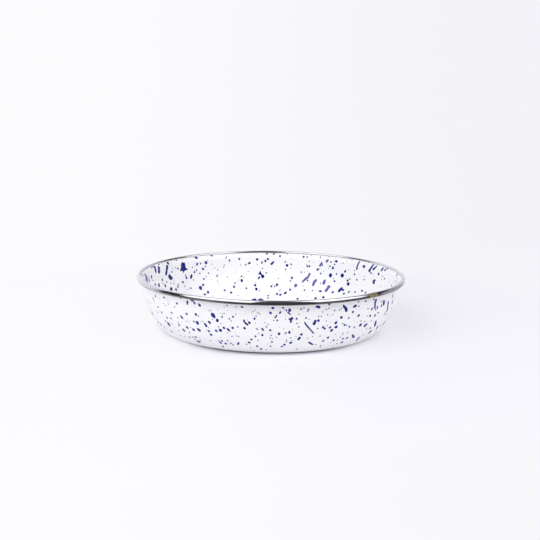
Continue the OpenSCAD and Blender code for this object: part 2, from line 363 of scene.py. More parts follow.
# Marks of the spatter, read from the photograph in its pixels
# A round mark is (x, y, width, height, depth) and depth runs from 0, a pale speck, to 10, deep blue.
PALE = 4.5
ROUND = [
    # inside, left
    (177.9, 286.8, 1.4, 1.8, 3), (178.3, 284.7, 1.2, 1.4, 2), (171.9, 272, 1.6, 1.6, 2),
    (177.8, 268.6, 1.5, 1.6, 4), (175.5, 267.8, 1, 1.2, 1), (186.5, 277.8, 1.4, 2.2, 6),
    (185.5, 275.4, 1.1, 1.6, 3), (184.9, 286.2, 1.5, 1, 1), (193.6, 279.9, 1.3, 1.2, 1),
    (194.5, 272, 1.5, 2.2, 5), (196.5, 270.1, 1.1, 1.6, 4), (192.4, 267.4, 1.1, 1.1, 3),
    (196.2, 257.6, 2.2, 2.8, 10), (190.8, 288.1, 1.6, 1.6, 4), (188, 289.5, 1.6, 0.9, 1),
    (155.3, 284.5, 1.1, 2.4, 5), (152.3, 266, 1.2, 1.4, 2), (158.8, 263.8, 1.5, 1.5, 2),
    (176.5, 259.6, 1.2, 1, 3), (153, 280.3, 1.6, 1, 1), (162.8, 283.6, 1.4, 1, 1),
    (170.8, 283.5, 1.4, 1, 1), (173.7, 283.6, 1.4, 1, 1), (171.2, 289, 2.2, 3.2, 10),
    (148.5, 277, 1, 1.4, 1),
    # inside, between the left and the middle
    (211.5, 255.5, 2.8, 1.6, 5), (206, 262.7, 2.2, 2.9, 8), (200.6, 263.6, 1.4, 1.8, 3),
    (205.4, 266.4, 1.2, 1.3, 3), (208.4, 273.2, 1.2, 1.7, 3), (199.8, 273.5, 1.6, 1.2, 2),
    (203.9, 279, 2, 2, 2), (217.8, 270, 1.4, 1.2, 0), (227.3, 277, 1.2, 1.5, 0), (217.5, 280.8, 1, 1.2, 1),
    (218.5, 282.5, 1, 1, 0), (229.5, 260.5, 1, 2.2, 6), (207.5, 260.5, 1, 1, 0), (200.5, 288, 2.6, 4.4, 9),
    (203.1, 284.9, 1.9, 2.6, 5), (208, 292.2, 2, 2.4, 8), (204.8, 294.5, 1.8, 1.8, 6),
    (224.7, 290.3, 1.9, 1.9, 5), (231.1, 292.6, 2, 1.9, 7),
    # inside, middle
    (239.3, 259, 1.4, 1.9, 6), (245.8, 264.7, 2, 1.4, 2), (240.7, 265, 1, 1.2, 0),
    (257.2, 259.4, 1.8, 2.2, 9), (265.4, 261, 1.6, 2.2, 8), (267.9, 259.1, 1.7, 1.9, 7),
    (266.8, 253.6, 1.9, 1.4, 5), (274, 253.6, 1.8, 1.4, 6), (280, 256.1, 1.6, 1.8, 5),
    (287.2, 253.9, 1.2, 0.9, 2), (287, 265.4, 2.2, 2.2, 8), (285.2, 261.7, 1.3, 1.6, 3),
    (291.1, 264.3, 1.4, 1.6, 4), (285.6, 269.3, 1.2, 1.6, 3), (262.4, 268.2, 1.1, 1.4, 2),
    (257.1, 264.5, 1, 1, 0), (266.2, 273, 1.6, 1.8, 2), (248.2, 271, 1, 1.4, 0),
    (241.5, 276.3, 1.2, 1.6, 4), (241.8, 280.6, 1.9, 2.8, 10), (243.5, 277.4, 1, 1, 0),
    (235, 283, 1.6, 2.2, 1), (234, 286.8, 2.1, 2.9, 4.5), (255.1, 285.2, 1.8, 2.2, 8),
    (256.3, 289.1, 2.1, 2.4, 10), (246.4, 288.3, 1.3, 1.7, 5), (259.3, 290.9, 1.2, 1.6, 1),
    (276.9, 284.8, 1.9, 2.6, 9), (274.5, 286.3, 1.4, 1.2, 3), (272.8, 284.4, 1, 1.2, 0),
    (278.4, 278.4, 1.2, 1.2, 1), (291.9, 277.9, 1.9, 2.6, 6), (290.3, 281, 1.2, 2, 3),
    (301.4, 272.2, 1.2, 1.7, 3), (304.6, 272.3, 1, 1, 0), (295.7, 285.5, 3, 3.7, PALE),
    (280, 290.2, 1.6, 1.3, 2), (304.4, 290.1, 1.5, 1.7, 4), (302.9, 286, 1.2, 1, 0),
    (277, 294, 1.9, 1.9, 7), (307.6, 280.5, 1.4, 1.8, 4), (303.6, 256.8, 1.8, 1.9, 6),
    (307.2, 257, 1.3, 1.7, 4), (307.4, 266.2, 1.5, 1.7, 5), (238.3, 295.5, 1.3, 0.9, 1),
    (268.2, 295.6, 1.8, 1.2, 4), (268, 298, 1.8, 1.3, 3), (297.6, 298.8, 2, 1.6, 6),
    (254.4, 299.6, 4.6, 1.6, 8), (260, 299.7, 3.6, 1.4, 7), (279.9, 290.1, 1, 1, 1),
    (309.4, 266.1, 1.4, 1.9, 5),
    # inside, between the middle and the right
    (311.5, 255.6, 1, 1, 1), (320.5, 257.3, 1.2, 1.5, 3), (329, 256.7, 1.4, 0.8, 1),
    (331, 262, 1.8, 1.8, 2), (336.3, 261.3, 2.4, 2.2, 9), (334.6, 264.4, 1.3, 1.3, 4),
    (309.4, 261.4, 1.2, 1.2, 2), (322.4, 265.2, 1.2, 1.2, 5), (317.6, 269.6, 1.8, 2.2, 6),
    (318.8, 269, 1, 1.2, 3), (329.9, 266.3, 1.8, 1.2, 4), (332.9, 268, 1.8, 2.7, 7),
    (320.6, 273.5, 1.5, 1.4, 5), (330.5, 275.3, 2.9, 3.9, 8), (336.5, 274, 1.1, 1.8, 4),
    (342.3, 275.5, 2.8, 4, 10), (333.6, 278.4, 1.2, 1, 1), (334.5, 281.3, 1.3, 1.9, 6),
    (343.5, 263, 1, 1.4, 0), (309.6, 282.5, 1.2, 1, 1), (320.5, 283.5, 1, 2, 2),
    (320.3, 291.2, 2.6, 1.8, 8), (312.4, 290.6, 1.4, 1.4, 4), (332.7, 292.2, 1.9, 2, 7),
    (343.9, 293.7, 1.6, 1.7, 6), (315.6, 298.2, 2, 1.9, 7), (323.3, 297.3, 2.2, 2, 8),
    (343, 290, 1.8, 1.8, 8),
    # inside, right
    (354.5, 274.2, 1.2, 1.9, 4), (354.4, 270.5, 1.2, 1, 1), (363.9, 266.5, 2, 2.8, 8),
    (352, 260.5, 1, 1, 0), (368.7, 261.9, 1, 1.2, 3), (387.8, 268.8, 1.6, 1.8, 2),
    (371.1, 273.1, 1.8, 1.8, 3), (378.6, 274, 1.4, 2.5, 7), (382.4, 276.2, 1.1, 1.2, 2),
    (384.5, 278.7, 1.1, 1.6, 4), (381.5, 279.5, 1, 1, 1), (364, 279.6, 1.8, 1.2, 1),
    (356.8, 279.8, 2, 1.6, 2), (349.8, 279, 1.6, 1.6, 2), (347.6, 280.5, 1.4, 1.8, 7),
    (348.2, 283.9, 2.3, 3.2, 10), (364.5, 276.5, 1, 1, 0), (355, 292, 1.6, 1.6, 3),
    (362, 290.8, 1.8, 1.8, 5), (365.7, 292.7, 1.2, 2, 5), (395.6, 281.5, 0.9, 2.2, 2),
    (391.5, 285.5, 0.9, 1.6, 2), (397.5, 278.5, 0.9, 1.4, 0), (374.8, 280.2, 1.4, 1.4, 7),
    # outside, left
    (153.3, 298.5, 1.1, 1.6, 3), (164.1, 297.6, 1.6, 2, 6), (147.5, 301.5, 1, 1.6, 1),
    (154.3, 301, 1, 1.2, 1), (158.1, 307, 1.6, 1.8, 3), (157.7, 312.5, 1.2, 1, 1),
    (172.1, 313, 1.4, 1.6, 4), (174.6, 307, 1.1, 1.6, 3), (177.6, 317.3, 1.2, 1.2, 2),
    (198.6, 316, 1.2, 1.4, 3), (172.5, 323.7, 1, 1.2, 1), (186, 321.5, 1.5, 1, 1),
    (178.4, 322.5, 1, 1.5, 2), (178.6, 330.8, 1, 1.4, 2), (189.5, 332.3, 1.1, 1.8, 4),
    (190.6, 327.5, 1, 1.2, 2), (180.6, 335.5, 1.2, 1, 2), (189.6, 337.3, 1.4, 2.2, 3),
    (193, 337, 1.6, 1.6, 3), (194.8, 339.6, 1.8, 1, 3), (184.5, 336.3, 1.2, 1, 1),
    (155.3, 296, 1.2, 2.8, 5), (171, 312.2, 1.2, 1, 2), (165.5, 305.5, 1.2, 1, 1),
    (168.2, 304, 1.2, 1.4, 1), (202.8, 321.4, 1.6, 1, 1), (163.5, 303.5, 1.2, 0.9, 0),
    (150.4, 303.3, 1, 1, 0),
    # outside, between the left and the middle
    (211.5, 310.5, 1, 1, 1), (217.3, 320.4, 2.9, 3.4, 10), (222, 316.9, 1.9, 1.9, 3),
    (224.3, 313.4, 1, 1, 4), (222.7, 313.9, 1, 1.2, 1), (233, 316.8, 1.9, 2, 6), (229.3, 318.9, 1.1, 2, 5),
    (231.2, 321, 1, 1.8, 1), (236, 314.3, 1.4, 1.2, 0), (220.7, 323.6, 1.1, 1.1, 3),
    (218.6, 326.8, 1.2, 1.6, 1), (232.7, 327.9, 2.1, 2.4, 9), (237.7, 327, 1.6, 1.8, 2),
    (220.4, 330.3, 3, 3.2, 10), (206.6, 330.3, 1.2, 1, 1), (232, 336.4, 1.6, 1, 2), (236.5, 336, 1.2, 1, 1),
    (200.3, 340.3, 1.3, 1.6, 3), (210.4, 340.6, 1.1, 1.1, 3), (227.7, 340.6, 1.3, 1.3, 4),
    (233, 344.8, 1.6, 1.5, 2), (223, 346.5, 2.2, 1.4, 5), (226.9, 305.4, 1.6, 1.4, 4),
    (235.8, 307, 1.4, 1.2, 3), (212.3, 319.4, 1.4, 1, 1), (230.9, 343.4, 1.8, 1.3, 4),
    # outside, middle
    (253.3, 311.5, 1, 1, 3), (255.1, 310.2, 1.4, 0.9, 2), (251.6, 312.3, 1, 0.9, 1),
    (256.1, 316.2, 1.4, 1.4, 1), (254.5, 318.7, 1.8, 2.1, 8), (238.7, 336.5, 1.7, 1, 2),
    (247.7, 320, 1, 1, 0), (255.4, 323.3, 1, 1.2, 1), (264.5, 322.8, 1, 1.2, 1),
    (266.5, 326.8, 1.2, 1.8, 4), (268.2, 324.5, 1.3, 1.2, 2), (262.3, 335.1, 2, 2.1, 9),
    (255.5, 336.3, 1.7, 1.8, 6), (251.4, 339.5, 2, 1.7, 8), (258, 340.4, 1.8, 1, 2),
    (246.5, 344.3, 1.3, 1.4, 2), (257.2, 346.2, 2.4, 1.4, 6), (261.1, 349, 2.4, 1.7, 4),
    (271.9, 342, 2.2, 1.7, 4), (270.5, 346.2, 1.6, 1.7, 4), (271.3, 335.4, 1.4, 1.1, 4),
    (270, 338.1, 1.4, 1, 2), (276.2, 337.3, 1.5, 1.1, 2), (272.8, 308, 2.8, 2.2, 9),
    (273.7, 320.3, 1.4, 1.2, 2), (283, 307.7, 2.2, 1.5, 5), (284.5, 309.4, 1.2, 0.9, 3),
    (286.4, 310.5, 1.2, 2.2, 6), (289.6, 310.3, 2.7, 3.7, 10), (296.6, 318.8, 1.7, 1.9, 7),
    (298.8, 314.3, 1.6, 1, 3), (301.1, 309, 1.6, 1.8, 5), (304, 308, 1.8, 0.9, 2),
    (306.1, 317.9, 1.7, 1.9, 4), (297, 323.5, 2, 1.2, 3), (298.8, 327, 1.4, 1.8, 3),
    (283.5, 328.8, 1, 1.2, 1), (279, 333.8, 2.6, 2.5, 10), (285.7, 333, 1.9, 1.7, 5),
    (289.3, 332.3, 2.1, 2.9, 10), (301.4, 334.5, 2.4, 2.3, 9), (290.5, 337.8, 1, 1.8, 2),
    (286.4, 339.6, 1.1, 1.1, 3), (286.5, 341.4, 1.2, 1.5, 3), (291.5, 340.5, 1, 1, 1),
    (290.7, 342.8, 2.9, 1.9, 9), (284.5, 344.7, 2.4, 1.9, 7), (281.9, 346.5, 2.1, 1.3, 7),
    (297, 349, 1.6, 1, 2),
    # outside, between the middle and the right
    (308.5, 309.5, 1.6, 1.6, 6), (307.8, 311.3, 1.5, 1.2, 3), (326.5, 309.4, 1.2, 1.2, 4),
    (329, 308.4, 1.6, 1.2, 2), (334.6, 310.5, 1.4, 1.4, 5), (339.6, 310.3, 1.3, 1.2, 3),
    (341.5, 308.5, 1.2, 1.4, 3), (322.6, 312, 1.2, 1.5, 2), (327.6, 314.6, 1.2, 1.2, 4),
    (332.7, 314.8, 1.2, 1.2, 1), (318.7, 316.6, 1.2, 1.3, 3), (321.3, 316.5, 1.2, 1.3, 4),
    (309.2, 319.3, 1.3, 1, 1), (318.5, 320.6, 2.3, 2.7, 9), (326.3, 321.2, 1, 1.5, 1),
    (341.4, 317.5, 2.4, 2.8, 9), (336.1, 327, 3.1, 2.8, 10), (330.1, 327.5, 2.1, 2.2, 9),
    (323.1, 327.3, 2.1, 2.3, 8), (324.8, 328.6, 2, 1.7, 8), (327.3, 325.6, 1.1, 1.1, 3),
    (317.6, 328.5, 1.7, 1.1, 3), (342.9, 333.4, 1.2, 1.8, 3), (320.1, 336.1, 1.3, 1.6, 2),
    (312.7, 336.5, 1.3, 1, 2), (307.5, 338, 1, 1.4, 1), (328, 337.6, 2.3, 2.2, 7),
    (340.4, 337.2, 0.9, 1.8, 2), (337.5, 340.2, 0.9, 1.6, 3), (336.9, 343.6, 1.5, 1.3, 2),
    (315.5, 344.6, 1.3, 1.2, 2), (320.6, 345.8, 1.3, 1.2, 4), (331, 342.5, 1.2, 1, 1),
    # outside, right
    (359, 306.3, 1.5, 1.5, 3), (358.5, 301.8, 1.4, 1.5, 4), (365.8, 301.2, 1.8, 1.8, 7),
    (348.7, 318, 1.6, 2, 4), (358.8, 315.4, 2.2, 2.2, 9), (357.6, 316.6, 1.2, 1, 4),
    (374, 299.4, 2, 1.4, 7), (378.3, 312.7, 2.2, 1.3, 3), (368, 308.7, 1.8, 1.2, 3),
    (367.5, 316, 1, 1.4, 1), (361, 320.8, 1.4, 1.4, 2), (364.7, 321.5, 1.2, 1.2, 4),
    (371.3, 320.8, 1, 1.4, 1), (342.8, 323.6, 1.5, 1.4, 3), (344.7, 325, 1.9, 2.1, 9),
    (346.6, 325.5, 1.4, 1, 4), (349.5, 326.7, 1.5, 1.9, 8), (354.2, 327.3, 1.8, 1.6, 5),
    (366.3, 329, 1.5, 1, 2), (347.8, 332.3, 1.6, 1.2, 2), (391.6, 308, 1, 2, 2), (387, 314.5, 1.2, 1.6, 2),
    (381.5, 301.5, 1.2, 1.2, 2), (363, 335, 1.6, 1, 1),
]
# A stroke is (width, depth, x, y, x, y, ...) along its middle, from tip to tip.
STROKES = [
    # inside
    (1.8, 9, 167.6, 260.6, 168.2, 264.8), (1.9, 9, 167.5, 264.9, 167, 268, 166.6, 271, 165.8, 275.5),
    (2, 9, 158.9, 266.3, 159, 270, 159.1, 274), (1.5, 7, 153.8, 264.6, 155, 268.5, 155.8, 271, 156, 273.5),
    (1.1, 2, 150.7, 266.3, 152.3, 269), (1.4, 3, 141, 271.8, 142.8, 276),
    (1.9, 6, 145, 273.8, 146, 277.5, 147.3, 280, 147.8, 282.7), (1.1, 3, 149.5, 278.5, 149.3, 282),
    (1.6, 6, 151.5, 274.8, 151.5, 279), (1.8, 8, 158.3, 283.4, 159.7, 286.9),
    (1.4, 5, 161.6, 278.6, 163, 281.2), (1.2, 4, 166.4, 281, 167.3, 282.8),
    (1.5, 6, 164.6, 284.2, 166, 287.4), (1.8, 8, 175.4, 288.4, 176.8, 290.8),
    (1.8, 8, 182.2, 281, 183.6, 283.1), (1.9, 8, 191.8, 274.2, 190.8, 278.9),
    (1.6, 6, 197.6, 262.6, 196.5, 265.7), (1.8, 7, 201.8, 268, 204.2, 269.9),
    (1.4, 4, 217.8, 274.7, 216.4, 276.9), (1.2, 2, 226.8, 256, 225.6, 258.7),
    (1, 1, 224.5, 264, 223.5, 268), (1.7, 10, 248.2, 264, 250.5, 262.2),
    (1.4, 6, 262.5, 261.3, 261.3, 263.8), (1.8, 10, 270.8, 264.8, 274, 261.4),
    (1.5, 8, 259.9, 276.4, 258.1, 279.1), (1.7, 8, 270.8, 285.2, 271.8, 287.3),
    (2.25, PALE, 290.9, 288.5, 289.3, 290.7), (1.7, 9, 281.6, 293.8, 279.2, 295.7),
    (2, 10, 286.7, 291.8, 284, 294.2), (2.25, PALE, 310.2, 272.8, 308, 277.2, 305, 279.3, 301.8, 282.5),
    (2.05, PALE, 328.6, 259.3, 327, 260.9, 326.3, 262.8),
    (2.15, PALE, 322.4, 262.2, 321, 264.3, 319.3, 266.5), (1.8, 7, 346, 270.2, 344.3, 272.5),
    (2.6, PALE, 316.8, 279.3, 314.5, 281.7, 313.4, 284, 312.8, 286.4),
    (2.9, PALE, 325.2, 279.5, 324.2, 282, 323.1, 284.7),
    (2.9, PALE, 329.8, 285.3, 327.4, 288.7, 325.1, 292),
    (2.4, 10, 342.5, 287.4, 340.4, 289.6, 337.9, 292.2), (1.3, 6, 359.8, 261, 357.6, 265.3, 356.5, 270),
    (1.6, 8, 375.8, 263.2, 373, 265, 371, 268, 368.7, 272),
    (1.5, 7, 378.8, 264, 376, 266.8, 373.8, 268.8, 372.4, 269.7), (1.7, 7, 383.6, 267.4, 380.9, 271),
    (1.5, 5, 386.2, 268.4, 384.2, 271.2), (2, 8, 374.7, 280, 373.7, 282, 374.4, 284.2),
    (1.3, 6, 349.8, 291, 347.9, 292.9), (1, 3, 399, 272, 397.3, 273.8, 396.5, 276.5),
    (1.5, 6, 206, 294.2, 204.4, 295),
    # outside, left half
    (1.1, 3, 151.6, 312.2, 153.5, 315), (1.4, 5, 161, 311.3, 162.4, 313.6),
    (1.8, 9, 176.2, 302.4, 177.7, 304.6), (1.9, 9, 187.8, 300.6, 187.2, 302.7, 187.2, 305),
    (1.7, 8, 193.3, 301.6, 195.5, 304.3), (2.2, 9, 198.2, 303.6, 200.7, 306.6),
    (1.7, 8, 185.5, 312.9, 187.7, 315.1), (1.6, 7, 180.2, 315.3, 183.1, 318.9),
    (2.3, 10, 195.2, 313.1, 196.7, 316), (1.4, 4, 166.4, 316.6, 167.8, 318.9),
    (1.5, 5, 170.3, 317.2, 171.6, 319.4), (1.3, 5, 164.9, 320.3, 166, 322.3),
    (1.7, 8, 167, 322.2, 170.7, 326.4), (1.6, 4, 157.3, 321, 159.1, 323.1),
    (1.3, 3, 160.2, 322.8, 161.8, 325.7), (1.2, 2, 163.5, 326.3, 165.3, 328.8),
    (1.1, 3, 170.2, 330.4, 172.8, 332.9), (1.4, 6, 178.1, 324.1, 180.1, 326.1),
    (1.5, 6, 193, 320.7, 194.7, 322.4), (2.8, 10, 196.2, 320.8, 198.4, 324.8),
    (1.7, 8, 185.9, 326.2, 188.7, 328.9), (1.5, 7, 182.3, 328.6, 185.3, 331.8),
    (1.9, 9, 192.3, 328.2, 194.7, 331.1), (2.2, 10, 197, 328.2, 199, 330, 200.9, 331.3),
    (1.4, 6, 194.9, 336.2, 196.7, 338.1), (1.8, 5, 196.6, 340.9, 200.7, 342.4),
    (3.6, 10, 211.3, 312.9, 215.1, 318.3), (2, 8, 208.1, 320.9, 210.8, 323.9),
    (2, 8, 204.1, 322.8, 207.1, 327.2), (2, 8, 222.8, 326.7, 225, 329.1),
    (2, 9, 226.7, 328.1, 229.7, 331.1), (1, 4, 229.4, 330.9, 230.8, 331.9),
    (1.9, 9, 214.9, 329.8, 217.7, 332), (1.9, 8, 207.9, 330.2, 209.9, 332.2),
    (1.9, 9, 209.9, 333.6, 212.3, 335.8), (1.6, 7, 221, 340.1, 222.9, 341.8),
    (1.7, 7, 219.3, 341.5, 221.8, 343.8), (0.9, 2, 217.7, 340, 219.4, 341.6),
    (1.7, 8, 224.3, 343.1, 227.1, 344.1),
    # outside, right half
    (1.7, 6, 240.6, 306.3, 243.4, 307.6), (1, 2, 257, 312.3, 260.6, 314.5),
    (1.9, 8, 243.6, 319.5, 244.5, 322.2, 246, 323.5, 248.4, 325.3), (2.2, 9, 248.2, 321.6, 250.7, 323.9),
    (2.1, 8, 243.2, 327.2, 245.8, 329.1), (1.1, 4, 255.8, 328.2, 258.5, 329.9),
    (1.7, 8, 261.6, 327.8, 262.8, 329.8, 264.1, 330.8), (1.6, 8, 269.1, 329.5, 271.5, 331),
    (1.9, 9, 247.8, 341.9, 250.6, 343.1), (2, 8, 239, 342.3, 237.5, 344.9),
    (2.4, 10, 269.6, 311.6, 271.4, 314.2), (1.9, 8, 280.9, 311.2, 279.4, 313.9),
    (1.5, 7, 276.7, 314.7, 276.2, 316.7, 274.5, 317.9), (1.5, 6, 276.2, 319.8, 278.1, 320.9),
    (1.5, 8, 287.4, 312.1, 290.8, 314.8), (2.6, 10, 300.3, 336.7, 297.9, 340.2),
    (1.5, 8, 304.4, 321.7, 305.8, 324.5, 308, 327, 310.5, 329.8, 313.9, 333.6),
    (2.8, 10, 315.4, 306.6, 317.6, 306.6, 320.4, 307.9), (3, 10, 315.9, 319.8, 313.5, 325.2),
    (2.3, 8, 336.8, 321, 335.1, 324.4), (2.1, 9, 332.9, 328.9, 330.3, 331.8),
    (1.7, 7, 344.1, 337.8, 341.8, 339.7), (1.6, 7, 324.3, 340.1, 322.1, 341.9),
    (1.7, 7, 334.6, 339.4, 332.7, 341.1), (1.6, 6, 343.4, 341.4, 340.2, 343.3),
    (1.9, 8, 308.2, 341.9, 313.1, 344.9), (2.4, 10, 353.1, 307.1, 357, 305.2),
    (2.2, 10, 353.7, 310.8, 352.1, 313.2), (1.5, 7, 372.7, 307.5, 371.2, 310.4),
    (1.8, 6, 376.7, 298.9, 375.2, 302, 374.8, 308.7), (1.2, 3, 374.9, 308.5, 376.2, 310.6),
    (1.4, 6, 377.7, 305.6, 377.1, 309.3), (2, 8, 383.6, 300, 383.9, 303.8, 382.9, 305.2),
    (1.4, 7, 381.9, 304.2, 381.2, 307.3), (1.3, 6, 388.5, 300.7, 387.8, 306, 387.3, 311),
    (1.2, 4, 387, 310.8, 385.8, 312.3), (1.2, 4, 385.3, 312.7, 384.1, 315.3),
    (1.1, 3, 392.6, 299.7, 391.8, 304.6), (1.1, 4, 393.3, 294.5, 392.3, 298.1),
    (1.6, 7, 370.9, 314.6, 369.3, 317.3), (1.5, 6, 375.8, 314, 374.3, 316.9),
    (1.9, 8, 375.9, 320.3, 374.9, 326.5), (1.5, 6, 378.1, 325.9, 376.1, 329.4),
    (1.6, 2, 385.5, 320.7, 382.6, 325.6), (2.1, 9, 361.6, 323, 359.5, 326.7),
    (1.9, 9, 367.6, 323.6, 363.3, 326.8), (1.2, 4, 371.1, 327.2, 369.3, 329.1),
    (1.4, 6, 371.9, 330.1, 368.2, 333.9), (2.6, 10, 352.4, 334.5, 354.1, 337.9),
    (1.5, 7, 348.2, 336.9, 345.9, 339.1), (1.4, 5, 359.5, 336.7, 356.3, 341.1),
]
# A blot is the outline of a splash, point after point.
BLOTS = [
    ((182.1, 261.2), (183.1, 263), (184.6, 261.8), (185.5, 265), (185.5, 267.3), (188.3, 269.6),
     (185.6, 270.4), (184.2, 271.3), (183.5, 273.6), (182.4, 270.7), (179.6, 271.6), (181, 267.8),
     (180.9, 264), (181.6, 262.6)),
    ((170, 273.9), (171.2, 275.8), (172.9, 277.6), (172.5, 279.3), (170.8, 280.4), (169.3, 279.2),
     (168.1, 277), (168.4, 274.8)),
    ((260.9, 270.6), (261.1, 273), (262.2, 274.5), (264.2, 275), (264.5, 276.8), (263.4, 278.3),
     (261.5, 278), (261, 276), (260.6, 274.5), (259.4, 274.3), (258, 274.6), (259, 272.8), (260, 271.4)),
    ((291.4, 316.8), (293, 317.1), (293.4, 318.8), (292.2, 320), (291.9, 321), (291.7, 322.8),
     (290.6, 323.2), (289.7, 321.6), (289.9, 320.3), (288.4, 319.5), (288.7, 318.1), (290.4, 318.3)),
    ((343.6, 304.3), (345.5, 306), (347.6, 307.8), (347.8, 310), (346.8, 312.5), (345.2, 311.6),
     (344.3, 309), (342.9, 307.5), (342.7, 305.6)),
]

# Sizes of the drops, in mm
DROP_HEIGHT = 0.07      # of a large drop above the coat
SUNK = 0.02             # of a drop's edge below the coat's face
SPECK = 0.5             # a drop with a smaller mean radius has every second ring only
FLAT_RADIUS = 12.0      # nearer to the axis than this a drop is laid on a flat face
LEAST_WIDTH = 0.3       # of a mark, where its stretch is limited
FOOT_CLEAR = 0.15       # least height of a thrown drop's edges above the floor
LIP_CLEAR = 2.6         # length below the tip of the lip that no thrown drop reaches
GAP = 0.25              # least gap between a thrown drop and its neighbours
NEIGHBOURS = 8          # length along the section within which drops are compared
RUN_FROM = 1.2          # a smaller thrown drop is always round
# Each ring of a dome: share of its outline, and share of its height or the depth below the face
RINGS = ((1.0, -SUNK), (0.97, 0.25), (0.88, 0.62), (0.68, 0.9), (0.36, 1.0))
# How many sides a round drop has below each size
BLOB_SIDES = ((0.8, 10), (1.8, 16), (math.inf, 24))
SHORT_STEPS, LONG_STEPS = 10, 18    # along a run through two points, and through more
LEG_PARTS = 4           # each leg of a stroke is read in so many parts
BLOT_GROWS = 1.02       # a blot is drawn this much larger than it was read
MOST_STRETCH = 3.8      # a drop at the side of the view is this much wider than high at most
RUN_SHARE = 0.16        # share of the larger thrown drops that ran
chance = random.Random(7)


class Drops:
    """Closed low domes of blue glass that follow the coat, gathered in one mesh."""

    def __init__(self):
        self.verts, self.faces, self.edge, self.tone = [], [], [], []

    def add(self, side, s, angle, outline_at, tone, ladder=False):
        """outline_at(share) gives points (along the circle, along the section) in mm round (s, angle).

        A ladder is closed by rungs across it, any other drop by fans round a middle point.
        """
        rim = outline_at(1.0)
        size = sum(math.hypot(*p) for p in rim) / len(rim)
        # a small drop is lower than a large one
        height = DROP_HEIGHT * min(1.0, 0.45 + 0.4 * size)
        rings = RINGS if size > SPECK else RINGS[::2]
        r, z, _, up = on_face(side, s)
        start, n = len(self.verts), len(rim)

        def point(u, v, lift):
            if r > FLAT_RADIUS:
                return place(side, s + v, angle + u / r, lift)
            return ((r + v) * math.cos(angle) - u * math.sin(angle),
                    (r + v) * math.sin(angle) + u * math.cos(angle), z + lift * up)

        def face(*ids):
            # the same order of points faces the other way on the other side
            self.faces.append(ids if side == OUTSIDE else ids[::-1])

        for share, level in rings:
            lift = level * height if level > 0 else level
            self.verts += [point(u, v, lift) for u, v in outline_at(share)]
            self.edge += [1.0 - share ** 3] * n
        last = start + (len(rings) - 1) * n
        for i in range(n):
            j = (i + 1) % n
            for a in range(start, last, n):
                face(a + i, a + j, a + n + j, a + n + i)
        if ladder:
            for i in range(n // 2):
                rung = (i, i + 1, n - i - 1, (n - i) % n)
                rung = [q for q, before in zip(rung, (None, *rung)) if q != before]
                rung = rung[:-1] if rung[0] == rung[-1] else rung
                face(*(last + q for q in rung))
                face(*(start + q for q in reversed(rung)))
        else:
            self.verts += [point(0, 0, height), point(0, 0, -SUNK)]
            self.edge += [1.0, 0.0]
            top, low = len(self.verts) - 2, len(self.verts) - 1
            for i in range(n):
                j = (i + 1) % n
                face(low, start + j, start + i)
                face(last + i, last + j, top)
        self.tone += [tone] * (len(self.verts) - start)

    def build(self, name):
        ob = new_object(name, self.verts, self.faces)
        layer = ob.data.color_attributes.new("drop", "FLOAT_COLOR", "POINT")
        for spot, edge, tone in zip(layer.data, self.edge, self.tone):
            spot.color = (edge, tone, 0.0, 1.0)
        return ob


def scaled(outline):
    return lambda share: [(u * share, v * share) for u, v in outline]


def blob(width, height, rough=0.1):
    """A roundish drop with uneven edges, width along the circle by height, in mm."""
    n = next(sides for limit, sides in BLOB_SIDES if max(width, height) < limit)
    waves = [(k, rough / k ** 0.5 * chance.uniform(0.3, 1.0), chance.uniform(0, TAU)) for k in (2, 3, 4, 5)]
    out = []
    for i in range(n):
        a = TAU * i / n
        f = 1 + sum(m * math.cos(k * a + p) for k, m, p in waves)
        out.append((width / 2 * f * math.cos(a), height / 2 * f * math.sin(a)))
    return scaled(out)


def through(a, b, c, d, f):
    """Value a share f of the way from b to c on a smooth curve through all four."""
    return 0.5 * (2 * b + (c - a) * f + (2 * a - 5 * b + 4 * c - d) * f * f
                  + (3 * b - a - 3 * c + d) * f ** 3)


def smooth_line(points, count):
    """Points on a smooth curve through the given ones, crowded towards its two ends."""
    spots = [points[0]] + list(points) + [points[-1]]
    pieces = len(points) - 1
    out = []
    for i in range(count + 1):
        t = (1 - math.cos(math.pi * i / count)) / 2 * pieces
        k = min(int(t), pieces - 1)
        out.append(tuple(through(*four, t - k) for four in zip(*spots[k:k + 4])))
    return out


def run(points, width, taper=0.0):
    """A run of glass along a line of points in mm, with round ends; width across it."""
    line = smooth_line(points, SHORT_STEPS if len(points) < 3 else LONG_STEPS)
    steps = [math.dist(a, b) for a, b in zip(line, line[1:])]
    length = sum(steps)
    half = min(width / 2, 0.49 * length)
    phase = chance.uniform(0, TAU)

    def outline_at(share):
        left, right = [], []
        for i, p in enumerate(line):
            d = sum(steps[:i])
            a, b = line[max(i - 1, 0)], line[min(i + 1, len(line) - 1)]
            reach = math.dist(a, b)
            tu, tv = (b[0] - a[0]) / reach, (b[1] - a[1]) / reach
            near = min(d, length - d)
            w = half if near >= half else half * math.sqrt(max(0.0, 1 - (1 - near / half) ** 2))
            w *= share * (1 + taper * (2 * d / length - 1) + 0.1 * math.sin(9 * d / length + phase))
            # the ends draw in as the ring rises
            pull = (1 - share) * half * (1 - 2 * d / length)
            x, y = p[0] + pull * tu, p[1] + pull * tv
            left.append((x - w * tv, y + w * tu))
            right.append((x + w * tv, y - w * tu))
        # counterclockwise, as the round drops run
        return left[:1] + right[1:-1] + left[:0:-1]

    return outline_at


# The length along the circle grows with the angle, and the length along the section from the foot to the
# lip: right-handed seen from the outer face's side, left-handed seen from the inner face's side.
spatter = {INSIDE: Drops(), OUTSIDE: Drops()}
# (side, length along the face, angle, size) of each drop that is laid
marked = []


